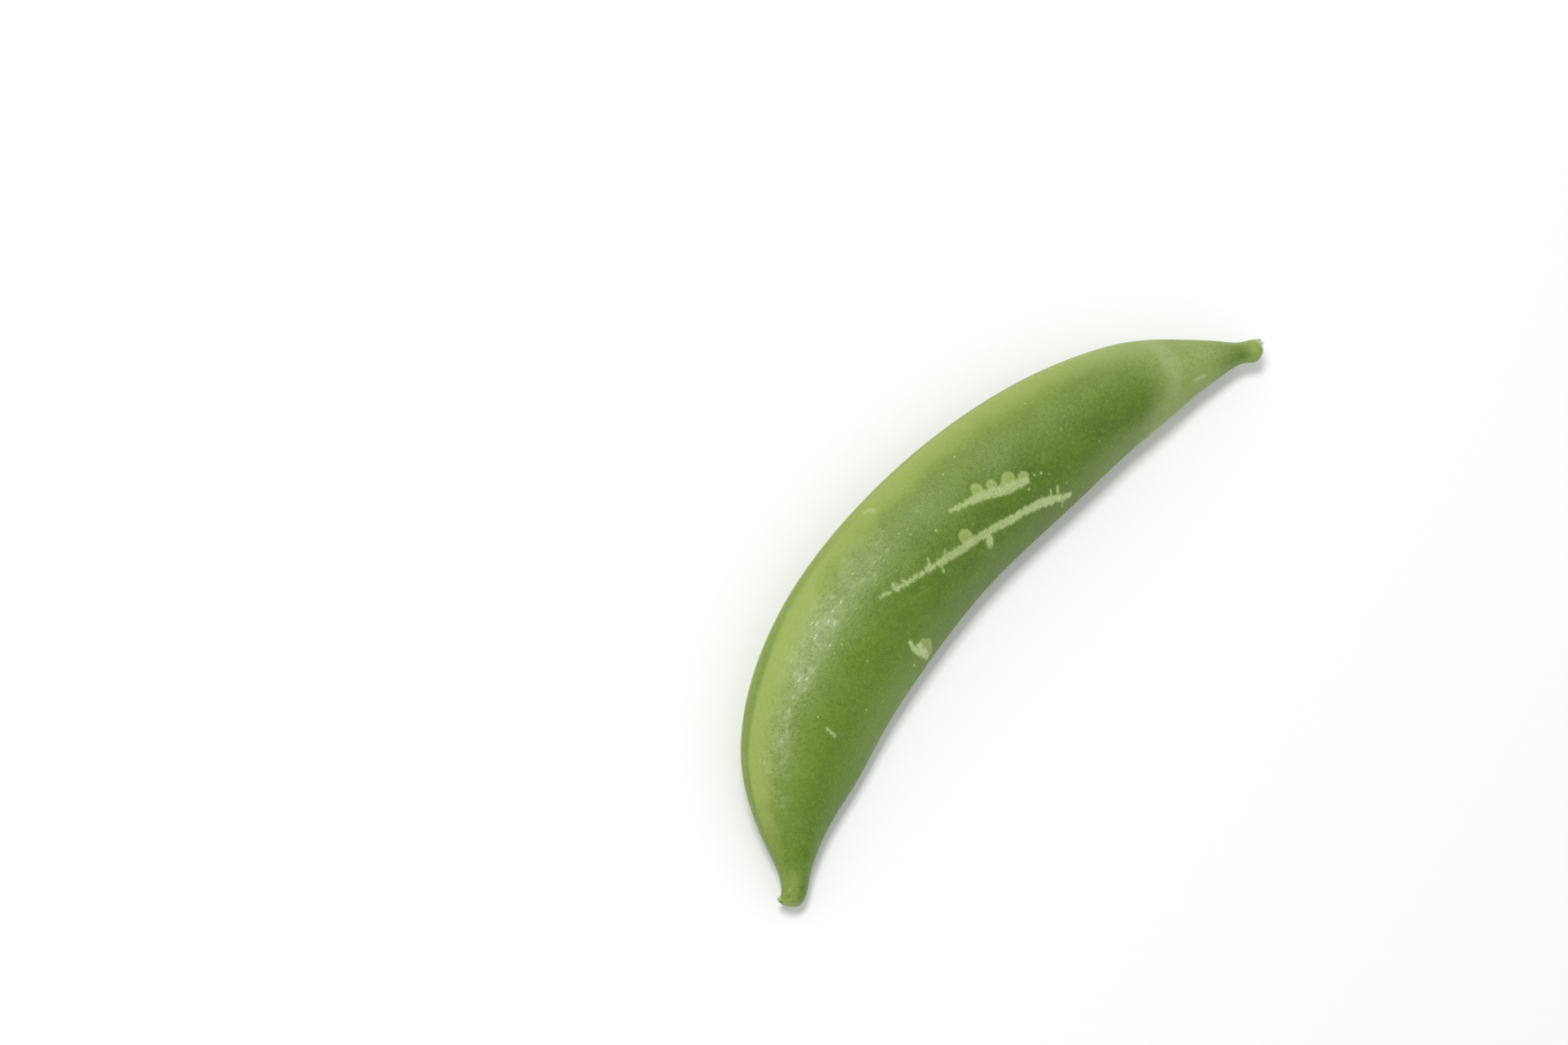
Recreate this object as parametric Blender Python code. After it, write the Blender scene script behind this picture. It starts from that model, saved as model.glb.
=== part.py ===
"""A sugar snap pea pod lying on its cheek, as picked. Metres, +Z up.

The pod's chord runs along X, from the torn stem collar at -X to the beak at +X. Its convex suture
faces -Y and its concave suture faces +Y. The origin is at the bottom centre of the pod's box.
"""

import math

import bmesh
import bpy
import numpy as np
from mathutils import Matrix, Vector

MM = 0.001

# The pod's length, along its middle line from the stem collar to the end of the beak
LENGTH = 91 * MM

# Stations along the middle line: millimetres from the collar, and the line's heading in degrees
HEADING = [
    (0, -43), (4, -35), (11, -29), (24, -16.5), (37, -10.5), (50, -1),
    (62, 9), (72, 23.5), (80, 36.5), (86, 44), (89, 42), (91, 42.5),
]  # fmt: skip

# Half of the width from suture to suture, at stations along the middle line, in millimetres
HALF_WIDTH = [
    (0, 1.25), (0.9, 1.3), (2.2, 1.2), (5, 1.85), (9, 3.1), (14, 4.65), (20, 5.85), (28, 7.1), (38, 7.9),
    (48, 8.25), (58, 8.45), (66, 8.1), (72, 7.45), (77, 6.3), (81, 4.6), (85, 2.7), (88, 1.6), (91, 1.5),
]  # fmt: skip

# Half of the thickness from cheek to cheek, at stations along the middle line, in millimetres
HALF_THICKNESS = [
    (0, 1.35), (0.9, 1.4), (2.2, 1.2), (5, 1.5), (9, 2.3), (14, 3.6), (20, 4.65), (28, 5.15), (40, 5.3),
    (58, 5.3), (66, 4.9), (74, 4.0), (81, 2.85), (86, 1.9), (91, 1.1),
]  # fmt: skip

# The ends: how far along the pod the broken collar and the beak are rounded off. Both are slanted:
# the rounding is this share shorter on the convex side and longer on the concave side
COLLAR_ROUNDING = 0.85 * MM
COLLAR_SLANT = 0.5
BEAK_ROUNDING = 1.65 * MM
BEAK_SLANT = 0.66

# Both ends lift a little out of the plane of the sutures
END_LIFT = 0.8 * MM

# The cross-section is an oval, thinned towards each suture by up to this share
PINCH = 0.12

# The convex suture: a flat-topped ridge of two lips, with a groove between them
KEEL_HEIGHT = 0.35 * MM
KEEL_REACH = 1.8 * MM
KEEL_GROOVE_DEPTH = 0.3 * MM
KEEL_GROOVE_REACH = 0.35 * MM

# The concave suture: a slighter rib with a shallow groove
RIB_HEIGHT = 0.25 * MM
RIB_REACH = 0.9 * MM
RIB_GROOVE_DEPTH = 0.15 * MM
RIB_GROOVE_REACH = 0.3 * MM

# The peas swell the cheeks faintly, one after another between these places along the pod
PEA_COUNT = 8
FIRST_PEA = 17 * MM
LAST_PEA = 78 * MM
PEA_SWELL = 0.012

# The dried point of the style, a nib on the convex side of the beak's end
NIB_PLACE = LENGTH - 0.85 * MM
NIB_HEIGHT = 0.45 * MM
NIB_REACH = 0.42 * MM

# The pod's weight lies towards its hollow side, so it rests with the convex edge raised, and its
# beak a trace lower than its collar, on a small flat spot under that weight
ROLL = math.radians(13)
PITCH = math.radians(0.7)
FLAT_SPOT_DEPTH = 0.25 * MM

# The skin's mesh: rings crowd towards both ends, and points of a ring towards both sutures
RINGS = 76
RING_POINTS = 44
END_CROWDING = 0.8
SUTURE_CROWDING = 0.6

SKIN_COLOUR = (0.13, 0.23, 0.045, 1.0)
SKIN_ROUGHNESS = 0.42


def smooth_curve(stations):
    """Returns the natural cubic spline through the (place, value) stations, as a function of place."""
    place, value = np.array(stations, float).T
    gap = np.diff(place)
    slope = np.diff(value) / gap
    system = np.eye(len(place))
    load = np.zeros(len(place))
    for i in range(1, len(place) - 1):
        system[i, i - 1 : i + 2] = gap[i - 1], 2 * (gap[i - 1] + gap[i]), gap[i]
        load[i] = 6 * (slope[i] - slope[i - 1])
    curl = np.linalg.solve(system, load)

    def value_at(where):
        i = np.clip(np.searchsorted(place, where) - 1, 0, len(gap) - 1)
        past = where - place[i]
        left = place[i + 1] - where
        cubic = (curl[i] * left**3 + curl[i + 1] * past**3) / (6 * gap[i])
        start = (value[i] / gap[i] - curl[i] * gap[i] / 6) * left
        end = (value[i + 1] / gap[i] - curl[i + 1] * gap[i] / 6) * past
        return cubic + start + end

    return value_at


def middle_line(samples=1000):
    """Walks the middle line and returns its distances, x, y and headings, with the chord along X."""
    distance = np.linspace(0, LENGTH, samples)
    heading = np.radians(smooth_curve(HEADING)(distance / MM))
    step = LENGTH / (samples - 1)
    turn = (heading[1:] + heading[:-1]) / 2
    x = np.concatenate([[0], np.cumsum(np.cos(turn)) * step])
    y = np.concatenate([[0], np.cumsum(np.sin(turn)) * step])
    chord = math.atan2(y[-1], x[-1])
    along_chord = x * math.cos(chord) + y * math.sin(chord)
    beside_chord = y * math.cos(chord) - x * math.sin(chord)
    return distance, along_chord, beside_chord, heading - chord


def rounded_end(distance_to_end, rounding):
    """Gives the share of the full size that is left this near to an end: a quarter circle."""
    depth = min(distance_to_end / rounding, 1)
    return math.sqrt(1 - (1 - depth) ** 2)


def suture_relief(up, size, height, reach, groove_depth, groove_reach):
    """Gives how far a suture stands out at a distance above or below its plane."""
    ridge = height * math.exp(-((up / (reach * size)) ** 4))
    groove = groove_depth * math.exp(-((up / groove_reach) ** 2))
    return (ridge - groove) * size


class Pod:
    """The pod's form: where a point of its skin lies, by distance along it and angle around it."""

    def __init__(self):
        self.width = smooth_curve(HALF_WIDTH)
        self.thickness = smooth_curve(HALF_THICKNESS)
        self.distance, self.x, self.y, self.heading = middle_line()
        self.full_thickness = max(value for _, value in HALF_THICKNESS) * MM

    def pea_swelling(self, along):
        """Gives the cheeks' share of swelling, which rises over each pea and fades past the last ones."""
        pitch = (LAST_PEA - FIRST_PEA) / (PEA_COUNT - 1)
        wave = math.cos(2 * math.pi * (along - FIRST_PEA) / pitch)
        inside = min(along - FIRST_PEA, LAST_PEA - along) + pitch / 2
        fade = min(max(inside / pitch, 0), 1)
        return 1 + PEA_SWELL * wave * fade

    def section(self, along, angle):
        """Gives the outline of the pod there: its reach towards the convex side, and its height."""
        half_thickness = float(self.thickness(along / MM)) * MM
        size = half_thickness / self.full_thickness
        up = half_thickness * self.pea_swelling(along) * math.sin(angle) * (1 - PINCH * math.cos(angle) ** 2)
        out = float(self.width(along / MM)) * MM * math.cos(angle)
        if math.cos(angle) > 0:
            out += suture_relief(up, size, KEEL_HEIGHT, KEEL_REACH, KEEL_GROOVE_DEPTH, KEEL_GROOVE_REACH)
            from_nib = math.hypot(along - NIB_PLACE, up)
            out += NIB_HEIGHT * math.exp(-((from_nib / NIB_REACH) ** 2))
        else:
            out -= suture_relief(up, size, RIB_HEIGHT, RIB_REACH, RIB_GROOVE_DEPTH, RIB_GROOVE_REACH)
        collar_rounding = COLLAR_ROUNDING * (1 - COLLAR_SLANT * math.cos(angle))
        beak_rounding = BEAK_ROUNDING * (1 - BEAK_SLANT * math.cos(angle))
        ends = rounded_end(along, collar_rounding) * rounded_end(LENGTH - along, beak_rounding)
        return out * ends, up * ends

    def point(self, along, angle):
        """Gives the point of the skin at this distance along the pod and angle around it."""
        out, up = self.section(along, angle)
        heading = float(np.interp(along, self.distance, self.heading))
        x = float(np.interp(along, self.distance, self.x)) + out * math.sin(heading)
        y = float(np.interp(along, self.distance, self.y)) - out * math.cos(heading)
        lift = END_LIFT * (2 * along / LENGTH - 1) ** 2
        return Vector((x, y, up + lift))


def crowd_to_ends(share):
    """Spreads rings over the length, closer together towards both ends."""
    return share - END_CROWDING * math.sin(2 * math.pi * share) / (2 * math.pi)


def crowd_to_sutures(angle):
    """Spreads points round a ring, closer together towards both sutures."""
    return angle - SUTURE_CROWDING * math.sin(2 * angle) / 2


def shape_skin(mesh):
    """Draws a sphere out into the pod: its latitudes run along the pod, and its longitudes around it."""
    pod = Pod()
    for vert in mesh.verts:
        latitude = math.acos(max(-1, min(1, vert.co.z))) / math.pi
        longitude = math.atan2(vert.co.y, vert.co.x)
        vert.co = pod.point(crowd_to_ends(latitude) * LENGTH, crowd_to_sutures(longitude))


def lay_down(mesh):
    """Rolls the pod as it lies, presses its flat spot and puts the origin under its box's centre."""
    turn = Matrix.Rotation(PITCH, 3, "Y") @ Matrix.Rotation(-ROLL, 3, "X")
    bmesh.ops.rotate(mesh, verts=mesh.verts, matrix=turn)
    table = min(vert.co.z for vert in mesh.verts) + FLAT_SPOT_DEPTH
    for vert in mesh.verts:
        vert.co.z = max(vert.co.z, table)
    xs = [vert.co.x for vert in mesh.verts]
    ys = [vert.co.y for vert in mesh.verts]
    origin = Vector(((min(xs) + max(xs)) / 2, (min(ys) + max(ys)) / 2, table))
    bmesh.ops.translate(mesh, verts=mesh.verts, vec=-origin)


def skin_material():
    """Makes the fresh green skin's material."""
    material = bpy.data.materials.new("pod_skin")
    material.use_nodes = True
    shader = material.node_tree.nodes["Principled BSDF"]
    shader.inputs["Base Color"].default_value = SKIN_COLOUR
    shader.inputs["Roughness"].default_value = SKIN_ROUGHNESS
    shader.inputs["Metallic"].default_value = 0.0
    return material


def make_pod(collection):
    """Makes the pod's closed skin."""
    mesh = bmesh.new()
    bmesh.ops.create_uvsphere(mesh, u_segments=RING_POINTS, v_segments=RINGS, radius=1)
    shape_skin(mesh)
    lay_down(mesh)
    bmesh.ops.triangulate(mesh, faces=mesh.faces)
    data = bpy.data.meshes.new("pod")
    mesh.to_mesh(data)
    mesh.free()
    data.shade_smooth()
    data.materials.append(skin_material())
    pod = bpy.data.objects.new("pod", data)
    collection.objects.link(pod)
    return pod


def main():
    for obj in list(bpy.data.objects):
        bpy.data.objects.remove(obj)
    collection = bpy.data.collections.new("sugar_snap_pea_pod")
    bpy.context.scene.collection.children.link(collection)
    make_pod(collection)


if __name__ == "__main__":
    main()
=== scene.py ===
"""Dresses one sugar snap pea pod.

Makes its waxy skin, its torn stem collar, the dried tip of its beak, and the stage that it lies on.
"""

import math
import random

import bmesh
import bpy
import numpy as np
from bpy.props import FloatProperty, FloatVectorProperty, IntProperty, PointerProperty
from mathutils import Matrix, Vector, noise


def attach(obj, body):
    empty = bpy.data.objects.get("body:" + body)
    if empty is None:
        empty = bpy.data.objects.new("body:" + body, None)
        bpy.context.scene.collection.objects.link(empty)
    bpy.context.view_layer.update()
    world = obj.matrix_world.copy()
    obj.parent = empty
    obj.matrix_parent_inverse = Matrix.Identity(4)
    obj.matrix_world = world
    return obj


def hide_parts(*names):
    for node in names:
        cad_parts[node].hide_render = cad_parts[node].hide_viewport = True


bl_info = {
    "name": "Sugar snap pea pod",
    "version": (1, 0, 0),
    "blender": (4, 5, 0),
    "location": "3D View > Sidebar > Pea pod",
    "description": "Makes a sugar snap pea pod and the stage that it lies on",
    "category": "Add Mesh",
}

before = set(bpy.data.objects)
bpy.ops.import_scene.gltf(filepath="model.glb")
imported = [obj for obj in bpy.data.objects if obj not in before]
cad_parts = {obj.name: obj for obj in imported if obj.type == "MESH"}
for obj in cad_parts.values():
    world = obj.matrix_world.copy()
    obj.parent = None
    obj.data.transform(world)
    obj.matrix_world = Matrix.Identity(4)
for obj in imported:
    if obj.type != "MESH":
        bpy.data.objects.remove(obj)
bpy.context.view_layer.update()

MM = 0.001

# The pod's form, as in its solid: millimetres along the middle line from the stem collar, and there the
# line's heading in degrees, half of the width from suture to suture, and half of the thickness
LENGTH = 91.0
HEADING = [
    (0, -43), (4, -35), (11, -29), (24, -16.5), (37, -10.5), (50, -1),
    (62, 9), (72, 23.5), (80, 36.5), (86, 44), (89, 42), (91, 42.5),
]  # fmt: skip
HALF_WIDTH = [
    (0, 1.25), (0.9, 1.3), (2.2, 1.2), (5, 1.85), (9, 3.1), (14, 4.65), (20, 5.85), (28, 7.1), (38, 7.9),
    (48, 8.25), (58, 8.45), (66, 8.1), (72, 7.45), (77, 6.3), (81, 4.6), (85, 2.7), (88, 1.6), (91, 1.5),
]  # fmt: skip
HALF_THICKNESS = [
    (0, 1.35), (0.9, 1.4), (2.2, 1.2), (5, 1.5), (9, 2.3), (14, 3.6), (20, 4.65), (28, 5.15), (40, 5.3),
    (58, 5.3), (66, 4.9), (74, 4.0), (81, 2.85), (86, 1.9), (91, 1.1),
]  # fmt: skip
FULL_THICKNESS = 5.3
COLLAR_ROUNDING = 0.85
COLLAR_SLANT = 0.5
BEAK_ROUNDING = 1.65
BEAK_SLANT = 0.66
END_LIFT = 0.8
PINCH = 0.12
KEEL_HEIGHT = 0.35
KEEL_REACH = 1.8
KEEL_GROOVE_REACH = 0.35
RIB_HEIGHT = 0.25
RIB_REACH = 0.9
RIB_GROOVE_REACH = 0.3
PEA_COUNT = 8
FIRST_PEA = 17.0
LAST_PEA = 78.0
NIB_PLACE = LENGTH - 0.85
NIB_HEIGHT = 0.45
NIB_REACH = 0.42

# How the pod lies, as in its solid, and where its origin is before it is laid down
ROLL = math.radians(13)
PITCH = math.radians(0.7)
ORIGIN = (41.738, -11.318, -2.508)
FLAT_SPOT_SOFTNESS = 0.03

# The skin's mesh: rings crowd towards both ends, and points of a ring towards both sutures
RINGS = 400
RING_POINTS = 224
END_CROWDING = 0.75
SUTURE_CROWDING = 0.6

# Pale scars on the upper cheek, as strokes of (along, towards the convex side, half width) in millimetres
UPPER_SCARS = [
    [
        (44.0, 2.2, 0.18), (42.5, 1.7, 0.23), (41.0, 1.3, 0.45), (39.7, 0.7, 0.52), (37.8, -0.1, 0.56),
        (35.2, -0.8, 0.42),
    ],
    [
        (56.1, 1.8, 0.2), (53.7, 0.7, 0.2), (50.1, -0.5, 0.27), (47.9, -1.2, 0.36), (45.7, -1.8, 0.42),
        (43.4, -2.2, 0.44), (38.8, -3.3, 0.42), (36.5, -3.7, 0.44), (35.1, -4.0, 0.5), (33.2, -4.7, 0.44),
        (30.9, -5.7, 0.24),
    ],
    [(42.4, -2.6, 0.4), (42.6, -3.3, 0.48), (42.9, -3.9, 0.28)],
    [(33.4, -4.6, 0.1), (33.1, -3.6, 0.05)],
    [(32.7, -4.9, 0.1), (32.1, -3.8, 0.05)],
    [(31.9, -5.2, 0.1), (32.3, -6.3, 0.05)],
    [(48.1, -1.0, 0.1), (47.6, -0.4, 0.05)],
    [(54.6, 1.1, 0.1), (54.2, 1.7, 0.05)],
    [(50.1, -0.4, 0.14), (49.6, 0.3, 0.05)],
    [(48.9, -1.0, 0.14), (49.3, -2.0, 0.05)],
    [(53.2, 0.5, 0.12), (53.3, 1.1, 0.05)],
    [(57.3, -5.4, 0.3), (57.3, -6.8, 0.4)],
    [(57.9, -4.2, 0.18), (58.0, -5.0, 0.32), (57.8, -6.2, 0.34), (57.4, -7.4, 0.28)],
    [(71.2, -0.3, 0.05), (71.6, -1.4, 0.1)],
    [(49.9, 8.1, 0.06), (49.3, 7.7, 0.1)],
    [(10.2, -1.4, 0.06), (9.3, -1.35, 0.16), (8.5, -1.25, 0.06)],
]  # fmt: skip

# Round blisters beside the scars, as (along, towards the convex side, radius). The last three run together
UPPER_BLISTERS = [
    (40.3, 1.9, 0.68), (38.7, 1.3, 0.59), (36.8, 0.6, 0.81), (35.2, -0.3, 0.63), (44.7, -0.95, 0.78),
    (44.8, -1.6, 0.6), (56.7, -5.7, 0.52), (56.4, -6.3, 0.7), (56.7, -7.1, 0.64),
]  # fmt: skip

# Pale dots, in the same way. The last one, on the beak, is a painted highlight
UPPER_DOTS = [
    (34.0, -0.9, 0.12), (33.2, -1.2, 0.16), (32.4, -1.9, 0.08), (35.4, -1.8, 0.14), (62.6, 2.4, 0.08),
    (63.8, 2.6, 0.07), (62.6, -1.0, 0.08), (67.4, -3.8, 0.09), (70.4, 1.2, 0.09), (39.5, 5.9, 0.09),
    (41.8, 5.4, 0.07), (46.7, 1.8, 0.13), (48.9, 3.5, 0.08), (52.8, 3.9, 0.06), (29.6, 5.6, 0.1),
    (28.4, 1.4, 0.08), (25.1, -2.3, 0.08), (59.4, -6.5, 0.13), (89.0, 0.95, 0.1),
]  # fmt: skip

# Small dark spots on the beak, in the same way
DARK_SPOTS = [(89.75, 1.05, 0.06), (88.9, -0.3, 0.12), (90.3, 0.6, 0.08), (86.85, 0.4, 0.08)]

# The lower cheek, which is seen only from below, has marks of its own
LOWER_SCARS = [
    [(28.0, 0.6, 0.1), (31.5, -0.5, 0.22), (35.0, -1.0, 0.28), (38.5, -2.2, 0.12)],
    [(61.0, 3.4, 0.08), (63.4, 3.0, 0.2), (65.2, 3.2, 0.1)],
]
LOWER_BLISTERS = [(33.2, -0.1, 0.5)]
LOWER_DOTS = [(22.0, 1.5, 0.1), (47.5, 4.2, 0.12), (49.0, -3.8, 0.09), (56.0, -1.5, 0.08), (70.5, 0.5, 0.12)]

# The scars run along this direction, and fray across it
SCAR_DIRECTION = Vector((1, 0.33, 0)).normalized()

# Colours of the skin's smaller patterns, of the bead on the beak and of its dried point. The wax colour is
# partly painted sheen, the glint colour is painted highlight and the groove colour is painted shade
WAX_AND_SHEEN = (0.44, 0.5, 0.34)
PAINTED_GLINT = (0.62, 0.68, 0.5)
TORN_FLESH = (0.6, 0.66, 0.46)
GROOVE_SHADE = (0.15, 0.235, 0.035)
BLISTER = (0.32, 0.41, 0.09)
SCAR_BOTTOM = (0.34, 0.44, 0.15)
BEAD_DARK = (0.2, 0.26, 0.08)
BEAD_LIGHT = (0.4, 0.48, 0.18)
DRIED_POINT = (0.05, 0.06, 0.02)

# How deep the skin's finest relief is drawn, in metres
SKIN_RELIEF = 0.035 * MM

# The collar's broken face: how far along it is rough, and how rough it is, in millimetres
TORN_REACH = 0.25
TORN_ROUGHNESS = 0.22

# The collar's fibres: the seed of their random draws, the ring that they stand on, in millimetres along
# the pod, and the share of them that crowd together, with the crowd's middle and spread, in radians round
# the collar from the convex suture
FIBRE_SEED = 7
FIBRE_RING = 0.5
CROWD_SHARE = 0.85
CROWD_MIDDLE = 0.35
CROWD_SPREAD = 0.4

# The bead on the beak, in millimetres: its radius, how far its middle lies under the nib's top, and where
# its dried point is from that top, along, out and up
BEAD_RADIUS = 0.36
BEAD_SINK = 0.3
DRIED_PLACE = (0.22, -0.22, 0.26)

# The stage, in metres, and the camera's lens and sensor, in millimetres
FLOOR_RADIUS = 4
KEY_PLACE = (0.01, -0.22, 0.55)
KEY_SIZE = (0.2, 0.12)
CAMERA_AIM = Vector((9.57, -16.6, 0)) * MM
LENS = 80
SENSOR_WIDTH = 36


class PodShapeSettings(bpy.types.PropertyGroup):
    """How fully the skin's relief is drawn."""

    keel_groove: FloatProperty(
        name="Convex groove",
        description="Depth of the groove between the two lips of the convex suture",
        default=0.3 * MM,
        min=0,
        unit="LENGTH",
    )
    rib_groove: FloatProperty(
        name="Concave groove",
        description="Depth of the groove in the concave suture",
        default=0.15 * MM,
        min=0,
        unit="LENGTH",
    )
    pea_swell: FloatProperty(
        name="Swelling over the peas",
        description="Share by which the cheeks swell over each pea",
        default=0.012,
        min=0,
        max=0.1,
        subtype="FACTOR",
    )
    unevenness: FloatProperty(
        name="Unevenness",
        description="Height of the soft unevenness of the cheeks",
        default=0.09 * MM,
        min=0,
        unit="LENGTH",
    )


class PodSkinSettings(bpy.types.PropertyGroup):
    """The skin's colours and gloss."""

    flesh: FloatVectorProperty(
        name="Cheek",
        description="Green of the cheeks",
        default=(0.09, 0.168, 0.006),
        min=0,
        max=1,
        subtype="COLOR",
    )
    band: FloatVectorProperty(
        name="Band",
        description="Yellow-green of the band along the convex suture",
        default=(0.31, 0.395, 0.09),
        min=0,
        max=1,
        subtype="COLOR",
    )
    neck: FloatVectorProperty(
        name="Neck",
        description="Pale green of the neck behind the collar, where the hollow inside ends",
        default=(0.26, 0.355, 0.09),
        min=0,
        max=1,
        subtype="COLOR",
    )
    scar: FloatVectorProperty(
        name="Scars",
        description="Pale green of healed scratches",
        default=(0.46, 0.55, 0.25),
        min=0,
        max=1,
        subtype="COLOR",
    )
    roughness: FloatProperty(
        name="Roughness",
        description="Roughness of the waxy skin",
        default=0.38,
        min=0,
        max=1,
        subtype="FACTOR",
    )


class CollarSettings(bpy.types.PropertyGroup):
    """The torn fibres on the collar, where the pod broke from its stalk."""

    count: IntProperty(
        name="Fibres",
        description="Number of torn fibres on the collar",
        default=60,
        min=0,
        max=300,
    )
    longest: FloatProperty(
        name="Longest fibre",
        description="Length of the longest torn fibre",
        default=0.38 * MM,
        min=0,
        unit="LENGTH",
    )
    colour: FloatVectorProperty(
        name="Fibre colour",
        description="Whitish colour of the torn fibres",
        default=(0.8, 0.84, 0.7),
        min=0,
        max=1,
        subtype="COLOR",
    )


class StageSettings(bpy.types.PropertyGroup):
    """The floor, the lights and the camera."""

    floor: FloatVectorProperty(
        name="Floor",
        description="Colour of the plain floor",
        default=(0.93, 0.93, 0.93),
        min=0,
        max=1,
        subtype="COLOR",
    )
    key_power: FloatProperty(
        name="Key light",
        description="Power of the soft key light, in watts",
        default=1.9,
        min=0,
    )
    sky: FloatProperty(
        name="Ambient light",
        description="Strength of the even light from all round",
        default=0.62,
        min=0,
    )
    azimuth: FloatProperty(
        name="Camera azimuth",
        description="Where the camera stands round the pod",
        default=math.radians(82.17),
        subtype="ANGLE",
    )
    elevation: FloatProperty(
        name="Camera elevation",
        description="How steeply the camera looks down",
        default=math.radians(75.76),
        subtype="ANGLE",
    )
    roll: FloatProperty(
        name="Camera roll",
        description="How far the camera is turned about its own line of sight",
        default=math.radians(48.96),
        subtype="ANGLE",
    )
    distance: FloatProperty(
        name="Camera distance",
        description="How far the camera is from the point on the floor that it looks at",
        default=0.3861,
        min=0.01,
        unit="LENGTH",
    )


def smooth_curve(stations):
    """Returns the natural cubic spline through the (place, value) stations, as a function of place."""
    place, value = np.array(stations, float).T
    gap = np.diff(place)
    slope = np.diff(value) / gap
    system = np.eye(len(place))
    load = np.zeros(len(place))
    for i in range(1, len(place) - 1):
        system[i, i - 1 : i + 2] = gap[i - 1], 2 * (gap[i - 1] + gap[i]), gap[i]
        load[i] = 6 * (slope[i] - slope[i - 1])
    curl = np.linalg.solve(system, load)

    def value_at(where):
        i = np.clip(np.searchsorted(place, where) - 1, 0, len(gap) - 1)
        past = where - place[i]
        left = place[i + 1] - where
        cubic = (curl[i] * left**3 + curl[i + 1] * past**3) / (6 * gap[i])
        start = (value[i] / gap[i] - curl[i] * gap[i] / 6) * left
        end = (value[i + 1] / gap[i] - curl[i + 1] * gap[i] / 6) * past
        return cubic + start + end

    return value_at


def rounded_end(distance_to_end, rounding):
    """Gives the share of the full size that is left this near to an end: a quarter circle."""
    depth = np.clip(distance_to_end / rounding, 0, 1)
    return np.sqrt(1 - (1 - depth) ** 2)


def suture_relief(up, size, height, reach, groove_depth, groove_reach):
    """Gives how far a suture stands out at a distance above or below its plane."""
    ridge = height * np.exp(-((up / (reach * size)) ** 4))
    groove = groove_depth * np.exp(-((up / groove_reach) ** 2))
    return (ridge - groove) * size


def relief(places, per_mm, seed):
    """Gives a soft random height from -1 to 1 for each place, with this many humps a millimetre."""
    shift = Vector((seed * 17.3, seed * 5.1, seed * 9.7))
    return np.array([noise.noise(Vector(place) * per_mm + shift) for place in places])


class PodForm:
    """The pod's form in millimetres, for whole arrays of distances along it and angles around it."""

    def __init__(self, shape, samples=1000):
        self.keel_groove = shape.keel_groove / MM
        self.rib_groove = shape.rib_groove / MM
        self.pea_swell = shape.pea_swell
        self.unevenness = shape.unevenness / MM
        self.width = smooth_curve(HALF_WIDTH)
        self.thickness = smooth_curve(HALF_THICKNESS)
        self.distance = np.linspace(0, LENGTH, samples)
        heading = np.radians(smooth_curve(HEADING)(self.distance))
        step = LENGTH / (samples - 1)
        turn = (heading[1:] + heading[:-1]) / 2
        x = np.concatenate([[0], np.cumsum(np.cos(turn)) * step])
        y = np.concatenate([[0], np.cumsum(np.sin(turn)) * step])
        chord = math.atan2(y[-1], x[-1])
        self.x = x * math.cos(chord) + y * math.sin(chord)
        self.y = y * math.cos(chord) - x * math.sin(chord)
        self.heading = heading - chord

    def pea_swelling(self, along):
        """Gives the cheeks' share of swelling, which rises over each pea and fades past the last ones."""
        pitch = (LAST_PEA - FIRST_PEA) / (PEA_COUNT - 1)
        wave = np.cos(2 * math.pi * (along - FIRST_PEA) / pitch)
        inside = np.minimum(along - FIRST_PEA, LAST_PEA - along) + pitch / 2
        return 1 + self.pea_swell * wave * np.clip(inside / pitch, 0, 1)

    def section(self, along, angle):
        """Gives the outline of the pod there: its reach towards the convex side, and its height."""
        half_thickness = self.thickness(along)
        size = half_thickness / FULL_THICKNESS
        across = np.cos(angle)
        up = half_thickness * self.pea_swelling(along) * np.sin(angle) * (1 - PINCH * across**2)
        nib = NIB_HEIGHT * np.exp(-((along - NIB_PLACE) ** 2 + up**2) / NIB_REACH**2)
        keel = suture_relief(up, size, KEEL_HEIGHT, KEEL_REACH, self.keel_groove, KEEL_GROOVE_REACH)
        rib = suture_relief(up, size, RIB_HEIGHT, RIB_REACH, self.rib_groove, RIB_GROOVE_REACH)
        out = self.width(along) * across + np.where(across > 0, keel + nib, -rib)
        ends = rounded_end(along, COLLAR_ROUNDING * (1 - COLLAR_SLANT * across))
        ends = ends * rounded_end(LENGTH - along, BEAK_ROUNDING * (1 - BEAK_SLANT * across))
        return out * ends, up * ends

    def bend(self, along, out, up):
        """Takes places in the straightened pod to where they are in the curved one."""
        heading = np.interp(along, self.distance, self.heading)
        x = np.interp(along, self.distance, self.x) + out * np.sin(heading)
        y = np.interp(along, self.distance, self.y) - out * np.cos(heading)
        lift = END_LIFT * (2 * along / LENGTH - 1) ** 2
        return np.stack([x, y, up + lift], axis=1)


def lay_down(points):
    """Rolls the pod as it lies, presses its flat spot softly, and gives its points in metres."""
    turn = Matrix.Rotation(PITCH, 3, "Y") @ Matrix.Rotation(-ROLL, 3, "X")
    laid = points @ np.array(turn).T - np.array(ORIGIN)
    laid[:, 2] = FLAT_SPOT_SOFTNESS * np.logaddexp(0, laid[:, 2] / FLAT_SPOT_SOFTNESS)
    return laid * MM


def add_piece(name, mesh, material, replaced=()):
    """Makes a smooth-shaded piece of a bmesh, which rides on the pod's body."""
    data = bpy.data.meshes.new(name)
    mesh.to_mesh(data)
    mesh.free()
    data.shade_smooth()
    data.materials.append(material)
    piece = bpy.data.objects.new(name, data)
    bpy.context.scene.collection.objects.link(piece)
    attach(piece, "root")
    for node in replaced:
        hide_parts(node)
    return piece


def shade(colour, gain, lift=0.0):
    """Gives a colour made brighter or darker by a factor, and greyer by what is added to each channel."""
    return tuple(channel * gain + lift for channel in colour)


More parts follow.
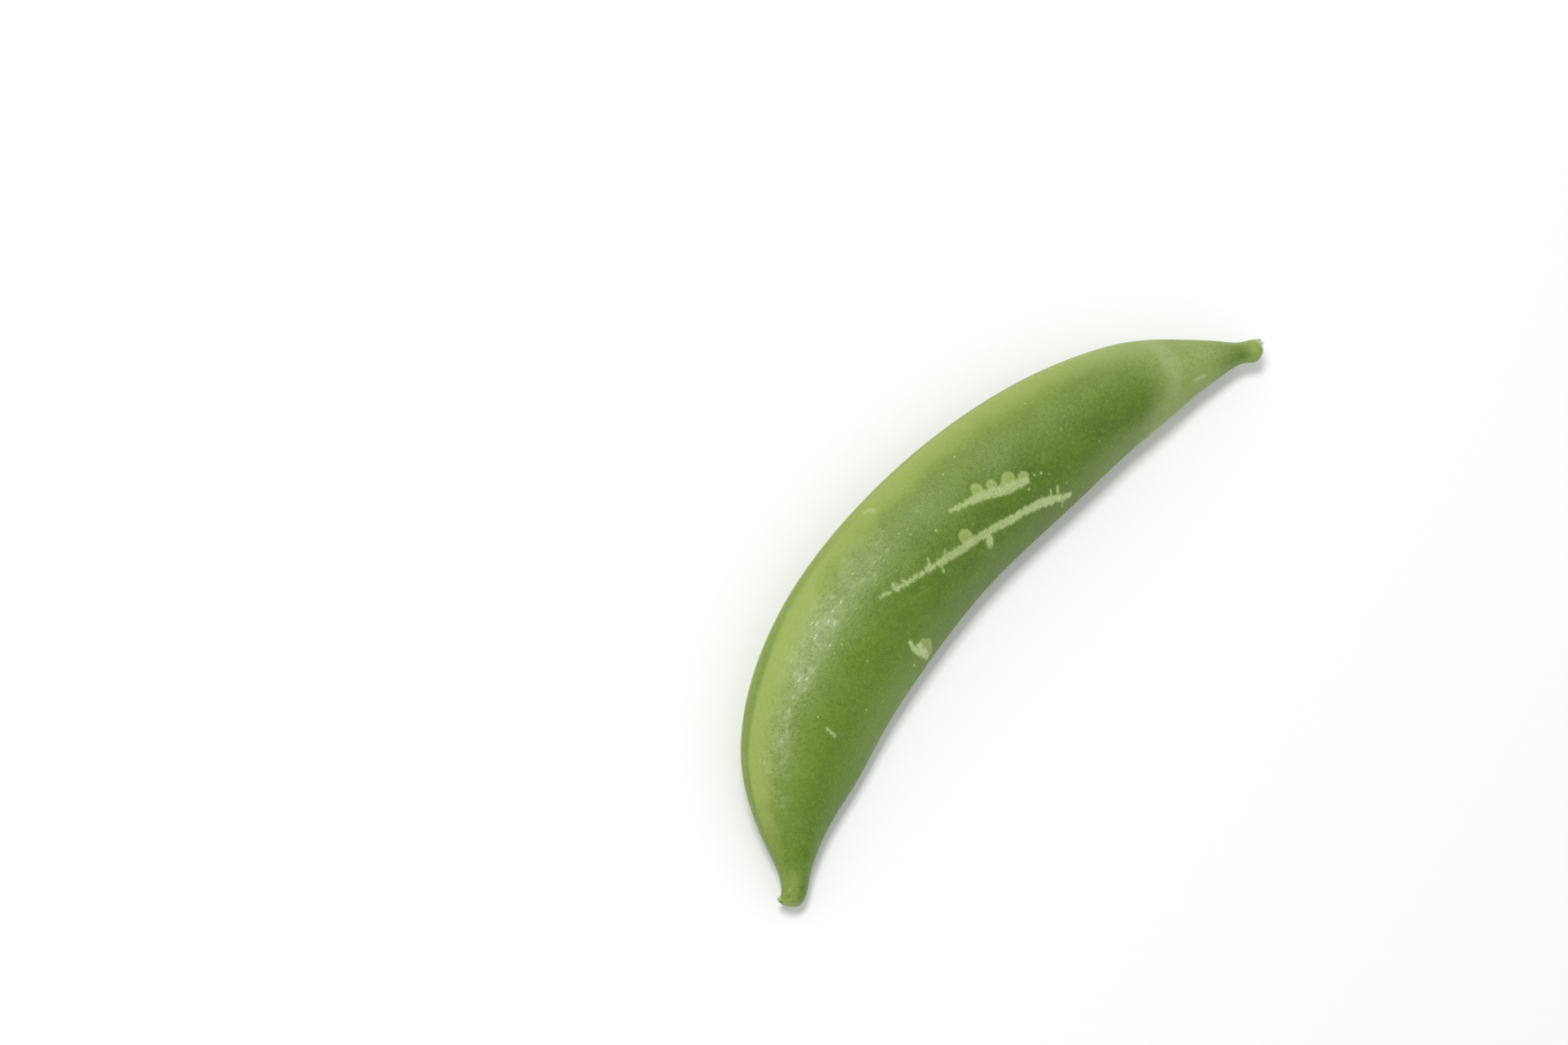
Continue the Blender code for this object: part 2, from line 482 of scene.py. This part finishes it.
class Value:
    """Wraps a number's socket, so that shader maths reads as Python: each operation adds a Math node."""

    def __init__(self, recipe, socket):
        self.recipe = recipe
        self.socket = socket

    def maths(self, operation, first, second):
        return self.recipe.value("ShaderNodeMath", [first, second], operation=operation)

    def __add__(self, other):
        return self.maths("ADD", self, other)

    __radd__ = __add__

    def __sub__(self, other):
        return self.maths("SUBTRACT", self, other)

    def __rsub__(self, other):
        return self.maths("SUBTRACT", other, self)

    def __mul__(self, other):
        return self.maths("MULTIPLY", self, other)

    def __truediv__(self, other):
        return self.maths("DIVIDE", self, other)

    def __abs__(self):
        return self.recipe.value("ShaderNodeMath", [self], operation="ABSOLUTE")

    def lesser(self, other):
        return self.maths("MINIMUM", self, other)

    def greater(self, other):
        return self.maths("MAXIMUM", self, other)

    def clamped(self):
        """Keeps the value from 0 to 1, in two nodes: a clamping node would overfill the renderer's stack."""
        return self.greater(0).lesser(1)

    def rise(self, low, high):
        """Goes smoothly from 0 at low to 1 at high."""
        sockets = {"Value": self, "From Min": low, "From Max": high}
        return self.recipe.value("ShaderNodeMapRange", sockets, interpolation_type="SMOOTHSTEP")

    def fall(self, low, high):
        """Goes smoothly from 1 at low to 0 at high."""
        return 1 - self.rise(low, high)


class Recipe:
    """Builds one material out of nodes."""

    def __init__(self, name):
        self.material = bpy.data.materials.new(name)
        self.material.use_nodes = True
        self.tree = self.material.node_tree
        self.shader = self.tree.nodes["Principled BSDF"]

    def node(self, kind, sockets=(), output=0, **settings):
        """Adds a node: its settings first, then the values or links of its sockets. Gives one output."""
        node = self.tree.nodes.new(kind)
        for name, setting in settings.items():
            setattr(node, name, setting)
        named = sockets.items() if isinstance(sockets, dict) else enumerate(sockets)
        for key, value in named:
            self.fill(node.inputs[key], value)
        return node.outputs[output]

    def fill(self, socket, value):
        """Links a socket to what feeds it, or sets its own value."""
        if isinstance(value, Value):
            value = value.socket
        if isinstance(value, bpy.types.NodeSocket):
            self.tree.links.new(value, socket)
        else:
            socket.default_value = value

    def value(self, kind, sockets=(), output=0, **settings):
        """Adds a node and gives its output as a number to reckon with."""
        return Value(self, self.node(kind, sockets, output, **settings))

    def mix(self, share, first, second):
        """Mixes two colours."""
        sockets = {0: share, 6: self.opaque(first), 7: self.opaque(second)}
        return self.node("ShaderNodeMix", sockets, 2, data_type="RGBA", clamp_factor=True)

    def opaque(self, colour):
        """Gives a plain colour its alpha, and leaves a socket as it is."""
        return colour if isinstance(colour, bpy.types.NodeSocket) else (*colour, 1)

    def noise(self, place, per_mm, detail=2.0, roughness=0.5):
        """Gives soft random values round 0, with this many humps a millimetre."""
        sockets = {"Vector": place, "Scale": per_mm, "Detail": detail, "Roughness": roughness}
        return self.value("ShaderNodeTexNoise", sockets, "Fac") - 0.5

    def vector(self, operation, first, second, output="Vector"):
        """Reckons with two vectors."""
        return self.node("ShaderNodeVectorMath", [first, second], output, operation=operation)

    def finish(self, **inputs):
        """Sets the shader's own sockets and returns the material."""
        for name, value in inputs.items():
            self.fill(self.shader.inputs[name.replace("_", " ")], value)
        return self.material


class SkinRecipe(Recipe):
    """Builds the pod's waxy skin, layer over layer, with patterns in the straightened pod's millimetres."""

    def __init__(self, skin):
        super().__init__("pod_skin")
        self.skin = skin

        # Where a place is: along the pod, out towards the convex side and up towards the upper cheek. The
        # edge goes from 1 at the convex suture to -1 at the concave one
        self.place = self.node("ShaderNodeAttribute", output="Vector", attribute_name="straightened")
        split = self.node("ShaderNodeSeparateXYZ", [self.place]).node
        self.along, self.out, self.up = (Value(self, output) for output in split.outputs)
        self.edge = self.value("ShaderNodeAttribute", output="Fac", attribute_name="edge")
        self.flat = self.node("ShaderNodeCombineXYZ", [self.along, self.out])

        # Soft random values, from broad to fine
        self.broad = self.noise(self.place, 0.11, 2)
        self.cloud = self.noise(self.place, 0.45, 3, 0.6)
        self.grain = self.noise(self.place, 2.4, 3, 0.65)
        self.fine = self.noise(self.place, 6.0, 2, 0.6)

        self.deep = shade(skin.flesh, 0.8)
        self.fullest = self.along.rise(50, 66) * self.along.fall(70, 78)

    def make(self):
        """Paints every layer in turn, and returns the material."""
        self.paint_cheeks()
        self.paint_wax_and_sheen()
        self.paint_band()
        self.paint_light_edges()
        self.paint_neck()
        self.paint_collar()
        self.paint_groove_shade()
        self.paint_mottling()
        self.paint_marks()
        self.paint_pimples_and_glints()
        return self.finish_skin()

    def paint(self, share, colour):
        """Lays a colour over the ones before it."""
        self.colour = self.mix(share, self.colour, colour)

    def paint_cheeks(self):
        """Paints the cheeks unevenly green, with a bluish bloom in patches."""
        broad, cloud = self.broad, self.cloud
        lightness = broad + cloud * 0.8 + self.along.rise(25, 65) * 0.4 + self.fullest * 0.3 + 0.3
        self.colour = self.mix(lightness, self.deep, shade(self.skin.flesh, 1.25))
        bloom = (cloud * 1.6 - broad * 1.2).clamped()
        self.paint(bloom * 0.4, shade(self.skin.flesh, 1.3, 0.04))

    def paint_wax_and_sheen(self):
        """Paints a whitish bloom in patches where the pod is fullest: partly waxy bloom, partly painted
        sheen.
        """
        along, edge = self.along, self.edge
        # Painted sheen: the patches lie where the key light's highlight falls, and are stronger on the upper
        # cheek
        waxed_and_lit = edge.rise(0.3, 0.6) * edge.fall(0.84, 1.03) * along.rise(47, 63) * along.fall(76, 84)
        waxed_and_lit = waxed_and_lit * (self.up.rise(-1, 1) * 0.6 + 0.4)
        patchy = (self.cloud * 3 + self.grain * 1.8 + self.fine + 0.35).clamped()
        self.wax_and_sheen = waxed_and_lit * patchy
        self.paint(self.wax_and_sheen * 0.7, WAX_AND_SHEEN)

    def paint_band(self):
        """Paints the paler band of the convex suture, which fades towards mid-cheek and at the beak: partly
        its own yellow-green, partly painted light.
        """
        along, edge = self.along, self.edge
        # Painted light: the band widens where the pod is fullest, where the sheen falls on it
        uneven = edge + self.cloud * 0.1 + self.broad * 0.15 + along.rise(56, 70) * 0.14
        band = uneven.rise(0.66, 1.0) * 0.65 + uneven.rise(-0.2, 0.8) * 0.35
        # Painted shade: the band is dimmer on the lower cheek, which turns away from the light
        band = band * (1 - along.rise(78, 86) * 0.6) * (self.up.rise(-1.6, 0.0) * 0.4 + 0.6)
        # The beak is yellower, and a painted highlight lightens its very end
        beak_tint_and_highlight = along.rise(85, 88) * edge.rise(-0.7, 0.6) * 0.5 + along.rise(89.8, 90.8) * 0.35
        self.band = band.greater(beak_tint_and_highlight)
        self.paint(self.band, self.skin.band)

    def paint_light_edges(self):
        """Paints the lighter convex side behind the neck, and the lighter skin along the concave suture."""
        along, edge = self.along, self.edge
        shoulder = edge.rise(0.35, 0.85) * along.rise(9, 12) * along.fall(15, 28) * 0.4
        self.paint(shoulder, shade(self.skin.neck, 1.1, 0.05))
        hollow_side = edge.fall(-0.85, -0.3) * (along.fall(18, 34) * 0.35 + self.fullest * 0.15 + 0.12)
        self.paint(hollow_side, self.skin.neck)

    def paint_neck(self):
        """Paints the neck: pale and mottled from where the hollow inside ends, then green to the collar."""
        along, edge, cloud = self.along, self.edge, self.cloud
        off_middle = self.out - 1
        hollow_end = 13.9 + off_middle * off_middle * 0.08
        past_end = along - hollow_end + cloud * 2.5
        neck = past_end.fall(-2.0, 4.2)
        self.paint(neck * (along.rise(3.0, 8.5) * 0.8 + 0.15), self.skin.neck)
        crescent = abs(past_end + 1.4).fall(0.2, 2.0) * (edge.rise(-0.9, 0.3) * 0.6 + 0.15)
        streak = edge.rise(0.0, 0.4) * edge.fall(0.6, 0.85) * 0.6 + edge.rise(0.88, 0.98)
        mottled = (cloud * 1.5 + self.grain * 2.6 + self.fine + 0.2).clamped()
        mottled = mottled * (streak + 0.2) * neck * along.rise(4, 8)
        self.paint(mottled.greater(crescent) * 0.8, shade(self.skin.neck, 1, 0.09))

    def paint_collar(self):
        """Paints the collar yellow-green, and whitish on its convex corner, where it was torn."""
        self.paint(self.along.fall(1.4, 2.8) * 0.75, shade(self.skin.band, 0.95))
        torn = (self.along + self.grain * 0.8 - self.edge * 0.5).fall(0.0, 0.7)
        self.paint(torn * 0.75, TORN_FLESH)

    def paint_groove_shade(self):
        """Paints shade into the groove of each suture, and onto the band next to the convex one where the
        pod is fuller.
        """
        along, edge, up = self.along, self.edge, self.up
        # Painted shade in the groove of each suture
        groove = abs(up).fall(0.03, 0.22) * abs(edge).rise(0.9, 0.99)
        self.paint(groove * 0.35, shade(self.skin.flesh, 0.7))
        # Painted shade beside the convex groove, on the upper cheek where the pod is fuller
        shaded = abs(up - 0.15).fall(0.06, 0.5) * edge.rise(0.9, 0.985)
        shade_beside_groove = (edge + along.rise(62, 68) * 0.025).rise(0.95, 0.99) * up.rise(-0.5, 0.0)
        shade_beside_groove = shade_beside_groove * along.rise(42, 64) * (0.72 - along.rise(80, 86) * 0.3)
        self.paint((shaded * 0.7).greater(shade_beside_groove), GROOVE_SHADE)

    def paint_mottling(self):
        """Paints the fine mottling of the skin's cells, and the dark spots on the beak."""
        speckle = self.grain * 1.1 + self.fine * 1.3
        self.paint(speckle.clamped(), shade(self.skin.flesh, 2.2, 0.04))
        self.paint((speckle * -1.1).clamped() * (1 - self.band * 0.65), self.deep)
        spots = (self.dot_distance(DARK_SPOTS) + self.grain * 0.4 + self.fine * 0.3).fall(-0.05, 0.25)
        self.paint(spots * 0.45, self.deep)

    def paint_marks(self):
        """Paints the scars, frayed across the way they run, the blisters, and the pale dots and specks."""
        along, out, grain, fine = self.along, self.out, self.grain, self.fine
        across_scars = Vector((-SCAR_DIRECTION.y, SCAR_DIRECTION.x, 0))
        runs = Value(self, self.vector("DOT_PRODUCT", self.flat, SCAR_DIRECTION, "Value"))
        crosses = Value(self, self.vector("DOT_PRODUCT", self.flat, across_scars, "Value"))
        stretched = self.node("ShaderNodeCombineXYZ", [runs * 1.9, crosses * 0.6, 0.0])
        fray = self.noise(stretched, 1.0, 3, 0.7) * 0.9 + grain * 0.6 + fine * 0.5 - 0.05
        ragged = fray * (along.rise(44, 50) * out.rise(-4.5, -2.5) * 0.5 + 1)
        upper = self.up.rise(-0.1, 0.1)
        scars = []
        blisters = []
        for side, strokes, rounds, dots in (
            (upper, UPPER_SCARS, UPPER_BLISTERS, UPPER_DOTS),
            (1 - upper, LOWER_SCARS, LOWER_BLISTERS, LOWER_DOTS),
        ):
            stroke = (self.stroke_distance(strokes) + ragged).fall(-0.2, 0.18)
            dot = (self.dot_distance(dots) + grain * 0.1).fall(-0.03, 0.06)
            scars.append(stroke.greater(dot) * side)
            outside = self.dot_distance(rounds) + self.cloud * 0.4 + grain * 0.7 + fine * 0.5
            blisters.append(outside.fall(-0.16, 0.12) * side)
            rim = outside.rise(-0.4, -0.1)
            inside = self.mix(rim * 0.45 + grain + fine + 0.1, BLISTER, self.skin.scar)
            self.paint(blisters[-1] * 0.75, inside)
        scar = scars[0].greater(scars[1])
        self.healed = scar.greater(blisters[0].greater(blisters[1]))

        # The scars are paler towards the concave suture
        streaked = self.mix(fray + fine * 2 + 0.6, SCAR_BOTTOM, self.skin.scar)
        streaked = self.mix(out.fall(-6.0, -1.5) * 0.6, streaked, shade(self.skin.scar, 1.25, 0.04))
        distance, pick = self.scatter(self.place, 0.55)
        specks = distance.fall(0.03, 0.07) * pick.rise(0.72, 0.76)
        self.paint((scar * (fine * 1.2 + 0.85).clamped()).greater(specks * 0.6), streaked)

    def paint_pimples_and_glints(self):
        """Makes tiny glossy pimples in clumps, drawn out along the pod, and paints their glints whitish in
        the sheen.
        """
        drawn_out = self.vector("MULTIPLY", self.place, (0.45, 1.0, 1.0))
        distance, pick = self.scatter(drawn_out, 2.1)
        pimple = (distance + self.grain * 0.5 + self.fine * 0.4).fall(0.1, 0.42)
        self.pimples = pimple * (pick + self.cloud * 2).rise(0.56, 0.74)
        # Painted highlight: the pimples are whitened as glints where the painted sheen lies
        self.paint(self.pimples * (self.wax_and_sheen * self.edge.fall(0.72, 0.92)) * 0.6, PAINTED_GLINT)

    def finish_skin(self):
        """Adds the relief of cells, scars, pimples and the creases of neck and beak, and the gloss."""
        along, cloud, grain = self.along, self.cloud, self.grain
        creased = self.vector("MULTIPLY", self.place, (0.12, 1.0, 1.0))
        creases = self.noise(creased, 1.7, 2) * along.fall(6, 12).greater(along.rise(80, 86))
        height = self.fine * 1.6 + grain * 1.3 + cloud * 2.2 + creases * 2
        height = height + self.healed * 0.5 + self.pimples * 0.4
        sockets = {"Height": height, "Distance": SKIN_RELIEF, "Strength": 1.0}
        rubbed = self.edge.fall(-0.95, -0.55) * 0.2
        roughness = self.healed * 0.16 + rubbed + grain * 0.3 + cloud * 0.35 - self.pimples * 0.22
        return self.finish(
            Base_Color=self.colour,
            Roughness=(roughness + self.skin.roughness).clamped(),
            Normal=self.node("ShaderNodeBump", sockets, "Normal"),
            IOR=1.45,
            Subsurface_Weight=0.12,
            Subsurface_Radius=(0.6, 1.0, 0.25),
            Subsurface_Scale=1.2 * MM,
        )

    def scatter(self, place, per_mm):
        """Scatters points, and gives the distance to the nearest one and that point's own random number."""
        cells = self.node("ShaderNodeTexVoronoi", {"Vector": place, "Scale": per_mm}, feature="F1").node
        pick = self.value("ShaderNodeSeparateColor", [cells.outputs["Color"]])
        return Value(self, cells.outputs["Distance"]), pick

    def dot_distance(self, dots):
        """Gives how far a place is outside the nearest of the round dots, in millimetres."""
        nearest = None
        for along, out, radius in dots:
            away = self.vector("DISTANCE", self.flat, (along, out, 0), "Value")
            outside = Value(self, away) - radius
            nearest = outside if nearest is None else nearest.lesser(outside)
        return nearest

    def stroke_distance(self, strokes):
        """Gives how far a place is outside the nearest of the strokes, in millimetres."""
        nearest = None
        for stroke in strokes:
            for (along, out, half), (next_along, next_out, next_half) in zip(stroke, stroke[1:]):
                start = Vector((along, out, 0))
                run = Vector((next_along, next_out, 0)) - start
                past = self.vector("SUBTRACT", self.flat, start)
                covered = self.vector("DOT_PRODUCT", past, run / run.length_squared, "Value")
                share = Value(self, covered).clamped()
                reached = self.node("ShaderNodeVectorMath", {0: run, "Scale": share}, operation="SCALE")
                away = Value(self, self.vector("DISTANCE", past, reached, "Value"))
                outside = away - (share * (next_half - half) + half)
                nearest = outside if nearest is None else nearest.lesser(outside)
        return nearest


def fibre_material(colour):
    """Makes the torn, whitish fibres of the collar."""
    recipe = Recipe("torn_fibre")
    place = recipe.node("ShaderNodeTexCoord", output="Object")
    stain = recipe.noise(place, 900, 2)
    shaded = recipe.mix(stain + 0.5, shade(colour, 0.7), colour)
    return recipe.finish(Base_Color=shaded, Roughness=0.7, Subsurface_Weight=0.1, Subsurface_Scale=0.4 * MM)


def tip_material(point):
    """Makes the glossy bead at the beak's end, dark at its dried point."""
    recipe = Recipe("style_tip")
    place = recipe.node("ShaderNodeTexCoord", output="Object")
    stain = recipe.noise(place, 1400, 2)
    colour = recipe.mix(stain * 2 + 0.5, BEAD_DARK, BEAD_LIGHT)
    away = Value(recipe, recipe.vector("DISTANCE", place, point, "Value")) / MM
    colour = recipe.mix(away.fall(0.06, 0.2) * 0.85, colour, DRIED_POINT)
    return recipe.finish(Base_Color=colour, Roughness=0.25)


class PEAPOD_OT_skin(bpy.types.Operator):
    """Make the pod's skin, finely shaped, in place of its plain solid"""

    bl_idname = "pea_pod.skin"
    bl_label = "Make the skin"

    def execute(self, context):
        form = PodForm(context.scene.pea_pod_shape)
        mesh = bmesh.new()
        bmesh.ops.create_uvsphere(mesh, u_segments=RING_POINTS, v_segments=RINGS, radius=1)
        sphere = np.array([vert.co for vert in mesh.verts])
        latitude = np.arccos(np.clip(sphere[:, 2], -1, 1)) / math.pi
        longitude = np.arctan2(sphere[:, 1], sphere[:, 0])
        along = LENGTH * (latitude - END_CROWDING * np.sin(2 * math.pi * latitude) / (2 * math.pi))
        angle = longitude - SUTURE_CROWDING * np.sin(2 * longitude) / 2
        out, up = form.section(along, angle)
        straightened = np.stack([along, out, up], axis=1)

        # The cheeks are softly uneven, less so towards the sutures
        cheeks = np.sin(angle) ** 2
        swell = relief(straightened, 0.16, 1) + 0.35 * relief(straightened, 0.5, 2)
        up = up + form.unevenness * swell * cheeks * np.sign(up) * form.thickness(along) / FULL_THICKNESS

        # The broken face of the collar is rough
        face = np.exp(-((along / TORN_REACH) ** 2))
        roughly = relief(straightened, 2.2, 3) * TORN_ROUGHNESS
        points = lay_down(form.bend(along + face * roughly, out, up))
        layer = mesh.verts.layers.float_vector.new("straightened")
        edge_layer = mesh.verts.layers.float.new("edge")
        for vert, point, where, turn in zip(mesh.verts, points, straightened, np.cos(angle)):
            vert.co = point
            vert[layer] = where
            vert[edge_layer] = turn
        bmesh.ops.recalc_face_normals(mesh, faces=mesh.faces)
        add_piece("skin", mesh, SkinRecipe(context.scene.pea_pod_skin).make(), ["pod"])
        return {"FINISHED"}


class PEAPOD_OT_fibres(bpy.types.Operator):
    """Add the torn fibres round the broken face of the stem collar"""

    bl_idname = "pea_pod.fibres"
    bl_label = "Tear the collar"

    def execute(self, context):
        collar = context.scene.pea_pod_collar
        form = PodForm(context.scene.pea_pod_shape)
        rng = random.Random(FIBRE_SEED)
        mesh = bmesh.new()
        for _ in range(collar.count):
            # Most of the fibres stand on the convex side of the rim, and the others anywhere on it
            crowded = rng.random() < CROWD_SHARE
            angle = rng.gauss(CROWD_MIDDLE, CROWD_SPREAD) if crowded else rng.uniform(-3, 3)
            length = collar.longest / MM * rng.uniform(0.3, 1) ** 1.5
            thickness = rng.uniform(0.05, 0.1)
            first = len(mesh.verts)
            bmesh.ops.create_cone(
                mesh, segments=5, radius1=thickness, radius2=0.012, depth=length, cap_ends=True
            )
            mesh.verts.ensure_lookup_table()
            sides = {edge for vert in mesh.verts[first:] for edge in vert.link_edges}
            sides = [edge for edge in sides if abs(edge.verts[0].co.z - edge.verts[1].co.z) > length / 2]
            bmesh.ops.subdivide_edges(mesh, edges=sides, cuts=3)
            mesh.verts.ensure_lookup_table()
            fibre = mesh.verts[first:]
            curl = rng.uniform(-0.5, 0.5)
            base = rng.uniform(0.7, 1)
            straight = np.array([vert.co for vert in fibre])
            height = straight[:, 2] + length / 2
            out, up = form.section(np.array([FIBRE_RING]), np.array([angle]))
            spread = height * 0.6 + curl * height**2
            along = 0.3 - height * 0.75
            across = out * base + straight[:, 0] + spread * math.cos(angle)
            above = up * base + straight[:, 1] + spread * math.sin(angle)
            points = lay_down(form.bend(along, across, above))
            for vert, point in zip(fibre, points):
                vert.co = point
        bmesh.ops.recalc_face_normals(mesh, faces=mesh.faces)
        add_piece("torn_fibres", mesh, fibre_material(collar.colour))
        return {"FINISHED"}


class PEAPOD_OT_tip(bpy.types.Operator):
    """Add the glossy bead and dried point that the flower's style left on the beak"""

    bl_idname = "pea_pod.tip"
    bl_label = "Tip the beak"

    def execute(self, context):
        form = PodForm(context.scene.pea_pod_shape)
        mesh = bmesh.new()
        bmesh.ops.create_icosphere(mesh, subdivisions=4, radius=BEAD_RADIUS)
        bead = np.array([vert.co for vert in mesh.verts])
        bead = bead * (1 + 0.12 * relief(bead, 3.0, 5))[:, None]
        out, up = form.section(np.array([NIB_PLACE]), np.array([0.0]))
        points = lay_down(form.bend(NIB_PLACE + bead[:, 0], out - BEAD_SINK + bead[:, 1], up + bead[:, 2]))
        for vert, point in zip(mesh.verts, points):
            vert.co = point
        bmesh.ops.recalc_face_normals(mesh, faces=mesh.faces)
        ahead, outward, upward = DRIED_PLACE
        dried = lay_down(form.bend(np.array([NIB_PLACE + ahead]), out + outward, up + upward))[0]
        add_piece("style_tip", mesh, tip_material(Vector(dried)))
        return {"FINISHED"}


class PEAPOD_OT_stage(bpy.types.Operator):
    """Set the floor, the lights and the camera"""

    bl_idname = "pea_pod.stage"
    bl_label = "Set the stage"

    def execute(self, context):
        stage = context.scene.pea_pod_stage
        self.lay_floor(stage)
        self.light(context.scene, stage)
        self.point_camera(context.scene, stage)
        context.scene.view_settings.view_transform = "Standard"
        return {"FINISHED"}

    def lay_floor(self, stage):
        """Makes a wide, plain, pale floor."""
        mesh = bmesh.new()
        bmesh.ops.create_circle(mesh, cap_ends=True, segments=96, radius=FLOOR_RADIUS)
        data = bpy.data.meshes.new("floor")
        mesh.to_mesh(data)
        mesh.free()
        recipe = Recipe("floor")
        data.materials.append(recipe.finish(Base_Color=(*stage.floor, 1), Roughness=0.9))
        floor = bpy.data.objects.new("floor", data)
        bpy.context.scene.collection.objects.link(floor)

    def light(self, scene, stage):
        """Hangs a soft key light over the pod's convex side, in even light from all round."""
        world = bpy.data.worlds.new("soft_light")
        world.use_nodes = True
        sky = world.node_tree.nodes["Background"]
        sky.inputs["Color"].default_value = (1, 1, 1, 1)
        sky.inputs["Strength"].default_value = stage.sky
        scene.world = world
        self.add_light("key", KEY_PLACE, KEY_SIZE, stage.key_power)

    def add_light(self, name, place, size, power):
        """Hangs one area light, which faces the pod."""
        lamp = bpy.data.lights.new(name, "AREA")
        lamp.shape = "RECTANGLE"
        lamp.size, lamp.size_y = size
        lamp.energy = power
        light = bpy.data.objects.new(name, lamp)
        light.location = place
        light.rotation_euler = Vector(place).to_track_quat("Z", "Y").to_euler()
        bpy.context.scene.collection.objects.link(light)

    def point_camera(self, scene, stage):
        """Looks down on the pod from the photograph's side, with the pod off the picture's centre."""
        camera = bpy.data.cameras.new("camera")
        camera.lens = LENS
        camera.sensor_width = SENSOR_WIDTH
        camera.clip_start = 0.01
        camera.clip_end = 20
        holder = bpy.data.objects.new("camera", camera)
        level = math.cos(stage.elevation)
        back = Vector(
            (math.sin(stage.azimuth) * level, -math.cos(stage.azimuth) * level, math.sin(stage.elevation))
        )
        facing = back.to_track_quat("Z", "Y").to_matrix() @ Matrix.Rotation(stage.roll, 3, "Z")
        holder.matrix_world = Matrix.Translation(CAMERA_AIM + back * stage.distance) @ facing.to_4x4()
        scene.collection.objects.link(holder)
        scene.camera = holder


class PEAPOD_PT_sidebar(bpy.types.Panel):
    """Lists the steps that make the pod, with their settings"""

    bl_idname = "PEAPOD_PT_sidebar"
    bl_label = "Pea pod"
    bl_space_type = "VIEW_3D"
    bl_region_type = "UI"
    bl_category = "Pea pod"

    def draw(self, context):
        for step, groups in STEPS:
            box = self.layout.box()
            box.operator(step.bl_idname)
            for group in groups:
                settings = getattr(context.scene, group)
                for name in settings.bl_rna.properties.keys():
                    if name not in ("rna_type", "name"):
                        box.prop(settings, name)


SETTINGS = {
    "pea_pod_shape": PodShapeSettings,
    "pea_pod_skin": PodSkinSettings,
    "pea_pod_collar": CollarSettings,
    "pea_pod_stage": StageSettings,
}
STEPS = [
    (PEAPOD_OT_skin, ["pea_pod_shape", "pea_pod_skin"]),
    (PEAPOD_OT_fibres, ["pea_pod_collar"]),
    (PEAPOD_OT_tip, []),
    (PEAPOD_OT_stage, ["pea_pod_stage"]),
]


def register():
    for group in SETTINGS.values():
        bpy.utils.register_class(group)
    for name, group in SETTINGS.items():
        setattr(bpy.types.Scene, name, PointerProperty(type=group))
    for step, _ in STEPS:
        bpy.utils.register_class(step)
    bpy.utils.register_class(PEAPOD_PT_sidebar)


def unregister():
    bpy.utils.unregister_class(PEAPOD_PT_sidebar)
    for step, _ in STEPS:
        bpy.utils.unregister_class(step)
    for name, group in SETTINGS.items():
        delattr(bpy.types.Scene, name)
        bpy.utils.unregister_class(group)


def main():
    register()
    bpy.ops.pea_pod.skin()
    bpy.ops.pea_pod.fibres()
    bpy.ops.pea_pod.tip()
    bpy.ops.pea_pod.stage()


if __name__ == "__main__":
    main()
